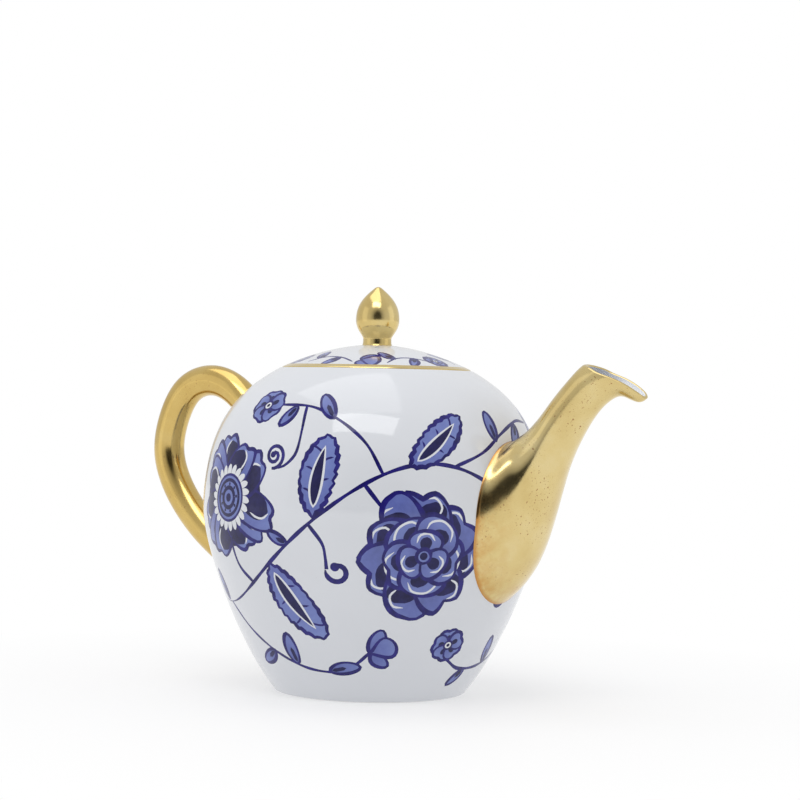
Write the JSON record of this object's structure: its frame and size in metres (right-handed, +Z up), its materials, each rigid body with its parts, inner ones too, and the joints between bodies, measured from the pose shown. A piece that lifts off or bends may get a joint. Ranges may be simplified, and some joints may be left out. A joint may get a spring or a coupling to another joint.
{
  "type": "teapot",
  "caption": "Round porcelain teapot with a rising spout, loop handle and a lift-off lid with a bud knob; blue painted vines, gilded fittings.",
  "frame": {"origin": "centre of the foot, on the table it stands on", "axes": "+X towards the spout, handle on -X, +Z up through the lid's knob"},
  "size_m": [0.2196, 0.13, 0.1545],
  "materials": {
    "painted_porcelain": "white glaze with blue underglaze painting, glossy",
    "white_porcelain": "plain white glaze, glossy",
    "gilding": "burnished gold over porcelain"
  },
  "bodies": {
    "pot": {"pot_body": "painted_porcelain", "lid_gallery": "white_porcelain", "strainer_plate": "white_porcelain", "spout": "gilding", "handle": "gilding"},
    "lid": {"lid_dome": "painted_porcelain", "lid_collar": "white_porcelain", "lid_knob": "gilding"}
  },
  "joints": [
    {"name": "lid_lift", "type": "slide", "parent": "pot", "child": "lid", "axis": [0, 0, 1], "range_m": [0, 0.05]}
  ]
}
